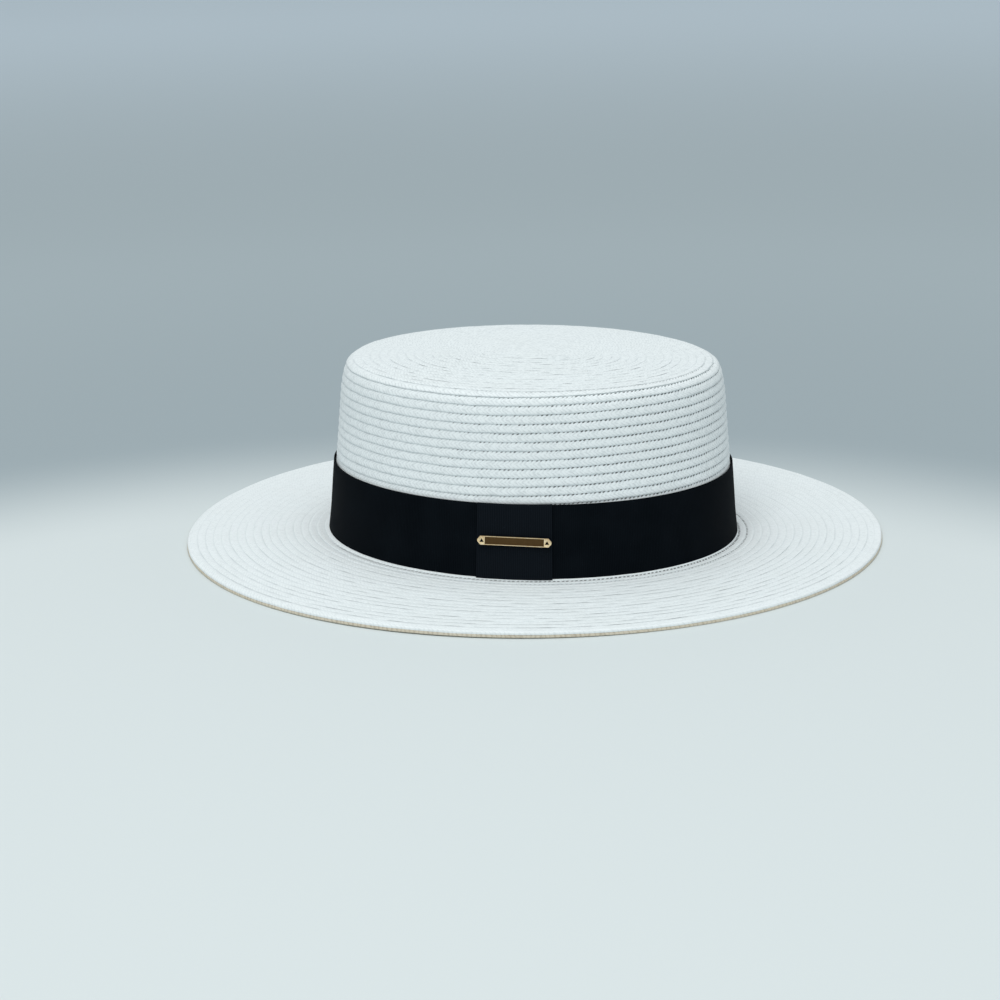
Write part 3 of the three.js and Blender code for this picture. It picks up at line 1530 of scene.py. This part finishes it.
@dataclass(frozen=True)
class RimRow:
    """A second row of braid under the rim, a little proud of it."""

    block: BrimBlock = BrimBlock()
    width: float = 4.7 * MM
    thickness: float = 1.1 * MM
    proud: float = 0.3 * MM
    steps: int = 721
    unit: PlaitUnit = PlaitUnit(
        section=(
            (0.0, -0.15), (0.25, -0.25), (0.86, -0.25), (0.97, -0.10),
            (1.0, 0.40), (0.98, 0.95), (0.86, 1.10), (0.0, 1.05),
        ),
        edge_points=(3, 4, 5),
        scallop=-0.07,
    )

    def place(self, wide: Array, angle: Array, out: Array) -> Array:
        """Puts points on the row.

        Args:
            wide: Half widths of the oval.
            angle: Angles round the oval.
            out: Distances above the row's face, which is its thickness above the resting plane.

        Returns:
            The points.
        """
        x = (wide + self.block.oval) * np.cos(angle)
        y = wide * np.sin(angle)
        return np.stack([x, y, self.thickness + self.block.rim_lift(angle) + out], axis=1)

    def build(self, straw: bpy.types.Material) -> bpy.types.Object:
        """Lays the row once round under the rim, with its two ends butted behind.

        Args:
            straw: The finish of the row.

        Returns:
            The piece.
        """
        outside = self.block.rim + self.proud
        turns = np.linspace(0.0, TAU, self.steps)
        middle = np.full_like(turns, outside - 0.5 * self.width)
        course = self.place(middle, BACK + Turn.CLOCKWISE.value * turns, np.zeros_like(turns))
        run = lengths_along(course)
        count = round(run[-1] / self.unit.length)
        row = self.unit.repeat("rim_row_braid", count)
        flat = read_points(row)
        turned = np.interp(flat[:, 0] * run[-1] / (count * self.unit.length), run, turns)
        angle = BACK + Turn.CLOCKWISE.value * turned
        distance = outside - (1.0 - flat[:, 1] / self.unit.pitch) * self.width
        keep_as_cut(row, np.stack([flat[:, 0] / MM, flat[:, 1] / MM, np.zeros(len(flat))], axis=1))
        write_points(row, self.place(distance, angle, flat[:, 2]))
        smooth_with_creases(row, STRAW_CREASE_DEG)
        dress(row, straw)
        return hand_over(row, Slot.EDGE_STRAW, "rim_row")


@dataclass(frozen=True)
class RibbonTrim:
    """The ribbon band round the foot of the crown, and the flat tab over its two ends.

    Out is how far the middle of the cloth stands off the crown. The tab hangs lower than the band by
    its drop, ends above it by its rise, and is tucked in behind at both ends. The half length is the
    oval's at the band, for finding angles from distances along X.
    """

    block: CrownBlock = CrownBlock()
    bottom: float = 3.5 * MM
    top: float = 39.0 * MM
    cloth: float = 0.55 * MM
    band_out: float = 0.95 * MM
    tab_middle: float = 2.3 * MM
    tab_width: float = 35.4 * MM
    tab_out: float = 2.05 * MM
    tab_drop: float = 0.35 * MM
    tab_rise: float = -0.10 * MM
    tuck: float = 4.0 * MM
    fold_radius: float = 0.225 * MM
    overlap: float = 10.0 * MM
    overlap_left: float = 9.4 * MM
    flat_length: float = 0.60
    belly: float = 0.12 * MM
    half_length: float = 102.0 * MM
    round_share: float = 0.94
    band_grid: tuple[int, int] = (300, 12)
    tab_grid: tuple[int, int] = (20, 64)

    def angle_at(self, x: Array | float) -> Array:
        """Gives the angle on the trimmed side where the band is at a distance along X."""
        return -np.arccos(x / self.half_length)

    @staticmethod
    def _flat_cloth(name: str, grid: tuple[int, int]) -> tuple[bpy.types.Object, Array]:
        """Adds a flat sheet of one unit a side.

        Args:
            name: The object's name.
            grid: How many faces it has each way.

        Returns:
            The sheet, and its points as shares from 0 to 1 of its length and width.
        """
        deselect_all()
        bpy.ops.mesh.primitive_grid_add(x_subdivisions=grid[0], y_subdivisions=grid[1], size=1.0)
        cloth = newly_added(name)
        return cloth, read_points(cloth) + np.array([0.5, 0.5, 0.0])

    def build_band(self, ribbon: bpy.types.Material) -> bpy.types.Object:
        """Wraps the band round the crown, with both ends under the tab.

        Args:
            ribbon: The ribbon's finish.

        Returns:
            The piece.
        """
        start = self.angle_at(self.tab_middle + self.overlap / 2)
        whole = TAU - (self.overlap - self.overlap_left) / self.half_length
        band, flat = self._flat_cloth("band_ribbon", self.band_grid)
        angle = start + Turn.COUNTER_CLOCKWISE.value * whole * flat[:, 0]
        height = self.bottom + (self.top - self.bottom) * flat[:, 1]
        slack = HandWander(seed=8, reach=0.05 * MM, longest=0.30, shortest=0.03)
        middle = np.sin(math.pi * flat[:, 1])
        round_it = flat[:, 0] * whole * self.half_length * self.round_share
        out = self.band_out + self.belly * middle + slack.at(round_it) * middle
        height = height + 0.6 * slack.at(round_it * 0.7 + 3.0)
        write_points(band, self.block.place_at_height(height, angle, out))
        cut = np.stack([round_it / MM, flat[:, 1] * (self.top - self.bottom) / MM, 0.0 * angle], axis=1)
        keep_as_cut(band, cut)
        self._thicken(band)
        dress(band, ribbon)
        hand_over(band, Slot.RIBBON, "hat_band")
        return band

    def build_tab(self, ribbon: bpy.types.Material) -> bpy.types.Object:
        """Folds the tab: down the face of the band, with its ends turned in above and below.

        Args:
            ribbon: The ribbon's finish.

        Returns:
            The piece.
        """
        bottom = self.bottom - self.tab_drop
        face = self.top + self.tab_rise - bottom
        turn = math.pi * self.fold_radius
        total = self.tuck + turn + face + turn + self.tuck
        tab, flat = self._flat_cloth("tab_ribbon", self.tab_grid)
        run = flat[:, 1] * total - self.tuck
        height, out = self._fold(run, bottom, face, turn)
        x = self.tab_middle + (flat[:, 0] - 0.5) * self.tab_width
        write_points(tab, self.block.place_at_height(height, self.angle_at(x), out))
        keep_as_cut(tab, np.stack([flat[:, 0] * self.tab_width / MM, run / MM, 0.0 * run], axis=1))
        self._thicken(tab)
        dress(tab, ribbon)
        hand_over(tab, Slot.RIBBON, "band_tab")
        return tab

    def _fold(self, run: Array, bottom: float, face: float, turn: float) -> tuple[Array, Array]:
        """Follows the tab's section round its two folds.

        Args:
            run: Lengths along the ribbon, where 0 is the start of the lower fold.
            bottom: The height of the lower fold.
            face: The height of the face between the folds.
            turn: The length of ribbon in one fold.

        Returns:
            Heights, and distances out from the crown.
        """
        radius = self.fold_radius
        low = np.clip(run / turn, 0.0, 1.0) * math.pi
        high = np.clip((run - turn - face) / turn, 0.0, 1.0) * math.pi
        up = np.clip(run - turn, 0.0, face)
        behind_low = np.clip(-run, 0.0, self.tuck)
        behind_high = np.clip(run - 2 * turn - face, 0.0, self.tuck)
        out = self.tab_out - radius - radius * np.cos(low)
        out = out - (radius - radius * np.cos(high))
        height = bottom + up - radius * np.sin(low) + radius * np.sin(high)
        height = height + behind_low - behind_high
        return height, out

    def _thicken(self, cloth: bpy.types.Object) -> None:
        """Gives a sheet of ribbon its thickness and smooth shading.

        Args:
            cloth: The sheet.
        """
        with edit_mode(cloth):
            bpy.ops.mesh.select_all(action="SELECT")
            bpy.ops.mesh.normals_make_consistent(inside=False)
        wall = cloth.modifiers.new("thickness", "SOLIDIFY")
        wall.thickness = self.cloth
        wall.offset = 0.0
        wall.use_even_offset = False
        apply_modifiers(cloth)
        smooth_with_creases(cloth, 40.0)


@dataclass(frozen=True)
class GiltBar:
    """The small pointed bar on the tab: a raised border round a bare sunk field, and two sewing holes.

    The field starts clear of each hole's middle by a share of the hole's width.
    """

    length: float = 35.0 * MM
    width: float = 4.3 * MM
    thickness: float = 1.2 * MM
    point: float = 1.4 * MM
    tip: float = 1.0 * MM
    border: float = 0.40 * MM
    recess: float = 0.45 * MM
    rounding: float = 0.14 * MM
    round_past_deg: float = 28.0
    hole_from_end: float = 2.1 * MM
    hole: float = 2.1 * MM
    hole_low: float = 0.21 * MM
    field_clear: float = 0.52
    crease_deg: float = 30.0
    middle: float = 2.6 * MM
    height: float = 22.15 * MM
    yaw_deg: float = 1.05
    tilt_back_deg: float = 3.8
    roll_deg: float = -0.8
    out: float = 2.75 * MM
    field_finish: int = 1
    side_finish: int = 2
    block: CrownBlock = CrownBlock()

    def build(self, *finishes: bpy.types.Material) -> bpy.types.Object:
        """Models the bar flat and sets it on the tab.

        Args:
            finishes: The finishes of the border, of the sunk field and of the upright sides.

        Returns:
            The piece.
        """
        deselect_all()
        bpy.ops.mesh.primitive_cube_add(size=1.0)
        bar = newly_added("gilt_bar")
        with edit_mode(bar):
            self._shape_plate(bar)
            self._sink_field(bar)
        rounding = bar.modifiers.new("rounding", "BEVEL")
        rounding.width = self.rounding
        rounding.segments = 2
        rounding.limit_method = "ANGLE"
        rounding.angle_limit = math.radians(self.round_past_deg)
        apply_modifiers(bar)
        self._pierce(bar)
        keep_as_cut(bar, read_points(bar) / MM)
        self._set_on_tab(bar)
        smooth_with_creases(bar, self.crease_deg)
        dress(bar, *finishes)
        return hand_over(bar, Slot.GILT, "bar_plate")

    def _shape_plate(self, bar: bpy.types.Object) -> None:
        """Stretches the cube to the plate and draws its ends out to blunt points.

        Args:
            bar: The cube, in edit mode.
        """
        straight = self.length - 2.0 * self.point
        select_points(bar, lambda point: True)
        bpy.ops.transform.resize(value=(straight, self.width, self.thickness))
        shift_selected(z=self.thickness / 2)
        for side in (-1.0, 1.0):
            select_faces(bar, lambda middle, normal: normal.x * side > 0.9)
            move = {"value": (side * self.point, 0.0, 0.0)}
            bpy.ops.mesh.extrude_region_move(TRANSFORM_OT_translate=move)
            select_faces(bar, lambda middle, normal: normal.x * side > 0.9)
            narrower = (1.0, self.tip / self.width, 1.0)
            bpy.ops.transform.resize(value=narrower, center_override=(0.0, 0.0, 0.0))

    def _sink_field(self, bar: bpy.types.Object) -> None:
        """Insets the face for the border and pushes the field down.

        Args:
            bar: The plate, in edit mode.
        """
        end = self.length / 2 - self.hole_from_end - self.hole * self.field_clear
        for x in (-end, end):
            bpy.ops.mesh.select_all(action="SELECT")
            bpy.ops.mesh.bisect(plane_co=(x, 0.0, 0.0), plane_no=(1.0, 0.0, 0.0))

        def upwards(middle: Vector, normal: Vector) -> bool:
            """Says whether a face is on top, between the two cuts."""
            return normal.z > 0.9 and abs(middle.x) < 0.5 * end

        select_faces(bar, upwards)
        bpy.ops.mesh.inset(thickness=self.border)
        field_half = 0.2 * self.width
        select_faces(bar, lambda middle, normal: upwards(middle, normal) and abs(middle.y) < field_half)
        bpy.ops.mesh.extrude_region_move(TRANSFORM_OT_translate={"value": (0.0, 0.0, -self.recess)})
        shape = bmesh.from_edit_mesh(bar.data)
        for face in shape.faces:
            low = face.calc_center_median().z < self.thickness - 0.5 * self.recess
            if abs(face.normal.z) < 0.5:
                face.material_index = self.side_finish
            elif low and face.normal.z > 0.9:
                face.material_index = self.field_finish
        bmesh.update_edit_mesh(bar.data)

    def _pierce(self, bar: bpy.types.Object) -> None:
        """Cuts a three-sided sewing hole near each end.

        Args:
            bar: The plate.
        """
        for side in (-1.0, 1.0):
            deselect_all()
            bpy.ops.mesh.primitive_cylinder_add(
                vertices=3,
                radius=self.hole / math.sqrt(3.0),
                depth=6.0 * self.thickness,
                location=(side * (self.length / 2 - self.hole_from_end), -self.hole_low, 0.0),
            )
            drill = newly_added("drill")
            bpy.ops.object.transform_apply(location=True, rotation=True, scale=True)
            cut = bar.modifiers.new("hole", "BOOLEAN")
            cut.operation = "DIFFERENCE"
            cut.solver = "EXACT"
            cut.object = drill
            apply_modifiers(bar)
            bpy.data.objects.remove(drill)

    def _set_on_tab(self, bar: bpy.types.Object) -> None:
        """Turns the flat bar upright and puts it on the tab, leaning with the wall.

        Args:
            bar: The finished plate, lying flat.
        """
        _, wide, high, _, _ = self.block.line
        half = float(np.interp(-self.height, -high, wide))
        turn = Quaternion((0.0, 1.0, 0.0), self.block.lean)
        turn = turn @ Quaternion((0.0, 0.0, 1.0), math.radians(self.yaw_deg))
        turn = turn @ Quaternion((1.0, 0.0, 0.0), math.radians(90.0 - self.tilt_back_deg))
        turn = turn @ Quaternion((0.0, 0.0, 1.0), math.radians(self.roll_deg))
        upright = Quaternion((0.0, 1.0, 0.0), self.block.lean)
        spot = upright @ Vector((self.middle, -(half + self.out), self.height))
        bar.rotation_mode = "QUATERNION"
        bar.rotation_quaternion = turn
        bar.location = spot
        take_up(bar)
        bpy.ops.object.transform_apply(location=True, rotation=True, scale=True)


# ---- studio -------------------------------------------------------------------------------


@dataclass(frozen=True)
class SoftBox:
    """A square soft light that faces the hat: where it hangs, its side, its watts and its colour."""

    name: str
    place: tuple[float, float, float]
    size: float
    power: float
    colour: tuple[float, float, float]

    def hang(self) -> None:
        """Hangs the light."""
        lamp = bpy.data.lights.new(self.name, "AREA")
        lamp.shape = "SQUARE"
        lamp.size = self.size
        lamp.energy = self.power
        lamp.color = self.colour
        thing = bpy.data.objects.new(self.name, lamp)
        bpy.context.scene.collection.objects.link(thing)
        thing.location = self.place
        thing.rotation_mode = "QUATERNION"
        thing.rotation_quaternion = (-Vector(self.place)).to_track_quat("-Z", "Y")


@dataclass(frozen=True)
class Studio:
    """A pale floor, a soft light in front and a weaker one overhead, an even room, and the camera."""

    camera_place: tuple[float, float, float] = (0.14685, -1.09437, 0.34864)
    aim: tuple[float, float, float] = (-0.01629, 0.0, 0.01577)
    roll_deg: float = -1.39
    lens: float = 82.26
    floor_size: float = 40.0
    floor_drop: float = 0.05 * MM
    lights: tuple[SoftBox, ...] = (
        SoftBox("key_light", (-0.12, -1.45, 2.2), 1.4, 26.0, (1.0, 0.99, 0.975)),
        SoftBox("top_light", (0.0, 0.0, 2.5), 1.8, 12.0, (0.97, 0.99, 1.0)),
    )
    room_colour: Colour = (0.94, 0.985, 1.0, 1.0)
    room_strength: float = 0.62

    def build(self, floor_finish: bpy.types.Material) -> None:
        """Puts up the floor, the lights and the camera.

        Args:
            floor_finish: The floor's finish.
        """
        self._floor(floor_finish)
        for light in self.lights:
            light.hang()
        self._world()
        self._camera()
        view = bpy.context.scene.view_settings
        view.view_transform = "Standard"
        view.look = "None"
        view.exposure = 0.0
        view.gamma = 1.0

    def _floor(self, finish: bpy.types.Material) -> None:
        """Lays the floor just under the resting plane.

        Args:
            finish: The floor's finish.
        """
        deselect_all()
        bpy.ops.mesh.primitive_plane_add(size=self.floor_size, location=(0.0, 0.0, -self.floor_drop))
        floor = newly_added("studio_floor")
        bpy.ops.object.transform_apply(location=True)
        dress(floor, finish)

    def _world(self) -> None:
        """Gives the room an even, cool light."""
        world = bpy.data.worlds.new("studio_room")
        bpy.context.scene.world = world
        world.use_nodes = True
        background = world.node_tree.nodes["Background"]
        background.inputs["Color"].default_value = self.room_colour
        background.inputs["Strength"].default_value = self.room_strength

    def _camera(self) -> None:
        """Sets up the camera."""
        lens = bpy.data.cameras.new("studio_camera")
        lens.lens = self.lens
        lens.sensor_width = 36.0
        lens.clip_start = 0.01
        lens.clip_end = 100.0
        camera = bpy.data.objects.new("studio_camera", lens)
        bpy.context.scene.collection.objects.link(camera)
        place = Vector(self.camera_place)
        look = (Vector(self.aim) - place).to_track_quat("-Z", "Y")
        camera.location = place
        camera.rotation_mode = "QUATERNION"
        camera.rotation_quaternion = look @ Quaternion((0.0, 0.0, 1.0), math.radians(self.roll_deg))
        bpy.context.scene.camera = camera


def main() -> None:
    """Builds the hat and the studio, piece by piece."""
    logging.basicConfig(level=logging.INFO, format="%(name)s: %(message)s")
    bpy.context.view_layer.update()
    Studio().build(FloorFinish().make())
    SewnCrown().build(STRAW.make())
    SewnBrim().build(FLAT_STRAW.make())
    RimRow().build(EDGE_STRAW.make())
    trim = RibbonTrim()
    trim.build_band(RIBBON.make())
    trim.build_tab(LIT_TAB_RIBBON.make())
    GiltBar().build(GILT.make(), GILT_FIELD.make(), GILT_SIDES.make())


if __name__ == "__main__":
    main()
